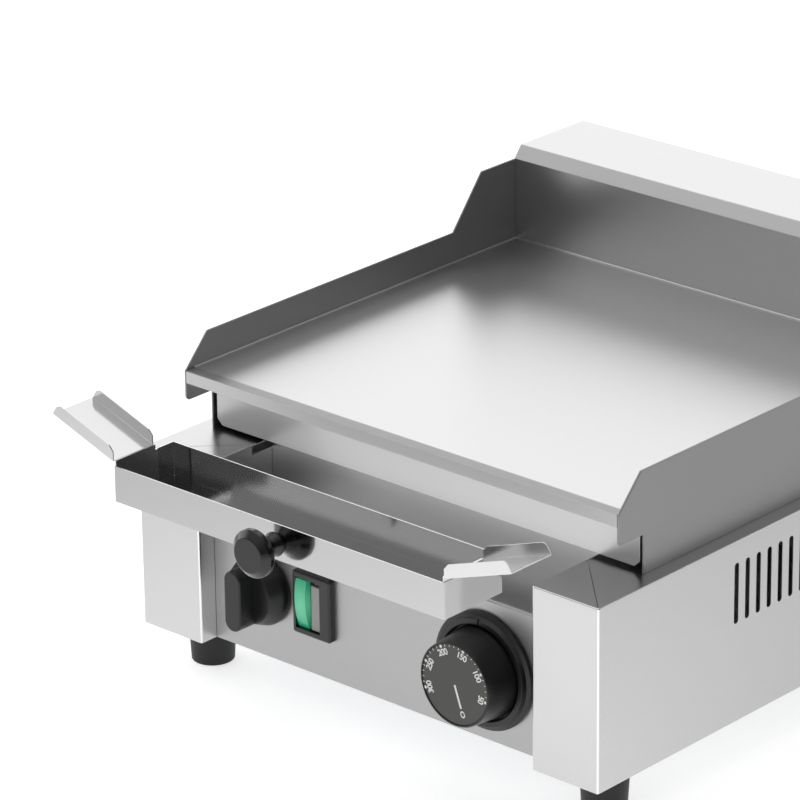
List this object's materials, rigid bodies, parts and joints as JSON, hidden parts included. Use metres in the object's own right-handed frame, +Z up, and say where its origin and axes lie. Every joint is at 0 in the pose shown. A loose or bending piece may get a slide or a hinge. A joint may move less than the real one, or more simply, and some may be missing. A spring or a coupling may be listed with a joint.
{
  "type": "table-top griddle",
  "caption": "Electric table-top griddle: brushed steel housing, flat cooking plate with splash guards, rear hood, lift-out grease drawer, thermostat dial and rocker switch.",
  "frame": {"origin": "on the table, under the middle of the overall length and width, with the drawer lifted out as at rest", "axes": "+X to the right seen from the front, +Y from the control panel to the back, +Z up"},
  "size_m": [0.36, 0.512, 0.2494],
  "materials": {
    "stainless": "fine brushed stainless sheet",
    "plate_steel": "satin ground steel plate",
    "galvanised": "dull zinc-coated sheet",
    "zinc": "bright zinc-plated steel",
    "foot_rubber": "matt black rubber",
    "black_plastic": "satin black heat-proof plastic",
    "dial_face": "matt dark grey with white print",
    "rocker_green": "lit translucent green",
    "grey_lens": "frosted grey lens",
    "regulator_metal": "plain pressed metal",
    "element_sheath": "dark annealed tube",
    "mineral_mat": "soft mineral-fibre mat",
    "copper": "drawn copper",
    "steatite": "unglazed white ceramic"
  },
  "bodies": {
    "housing": {"left_shell": "stainless", "right_shell": "stainless", "control_panel": "stainless", "rear_panel": "stainless", "base_plate": "galvanised", "foot_front_left": "foot_rubber", "foot_front_right": "foot_rubber", "foot_rear_left": "foot_rubber", "foot_rear_right": "foot_rubber", "foot_screws": "zinc", "foot_nuts": "zinc", "griddle_plate": "plate_steel", "left_guard": "stainless", "right_guard": "stainless", "front_apron": "stainless", "rear_hood": "stainless", "switch_bezel": "black_plastic", "switch_body": "black_plastic", "pilot_lens": "grey_lens", "dial_flange": "black_plastic", "thermostat_body": "regulator_metal", "selector_body": "regulator_metal", "heating_element": "element_sheath", "element_clamps": "galvanised", "insulation_mat": "mineral_mat", "heat_shield": "galvanised", "clamp_studs": "zinc", "clamp_nuts": "zinc", "sensor_bulb": "copper", "safety_limiter": "steatite", "terminal_block": "steatite", "cable_gland": "black_plastic", "gland_nut": "black_plastic", "shell_screws": "zinc"},
    "drawer": {"drawer_tray": "stainless", "left_wing": "stainless", "right_wing": "stainless", "drawer_pull": "black_plastic", "drawer_pull_screw": "zinc"},
    "thermostat": {"thermostat_knob": "black_plastic", "dial_disc": "dial_face", "thermostat_shaft": "zinc"},
    "selector": {"selector_knob": "black_plastic", "selector_shaft": "zinc"},
    "switch": {"rocker": "rocker_green"}
  },
  "joints": [
    {"name": "drawer_slide", "type": "slide", "parent": "housing", "child": "drawer", "axis": [0, -0.93, 0.3676], "range_m": [-0.0764, 0.02]},
    {"name": "thermostat_turn", "type": "hinge", "parent": "housing", "child": "thermostat", "pos_m": [0.085, -0.16287, 0.073], "axis": [0, -1, 0], "range_deg": [-110, 160]},
    {"name": "selector_turn", "type": "hinge", "parent": "housing", "child": "selector", "pos_m": [-0.091, -0.16287, 0.073], "axis": [0, -1, 0], "range_deg": [-90, 90]},
    {"name": "rocker_tilt", "type": "hinge", "parent": "housing", "child": "switch", "pos_m": [-0.0556, -0.14807, 0.0748], "axis": [1, 0, 0], "range_deg": [-7, 0]}
  ]
}
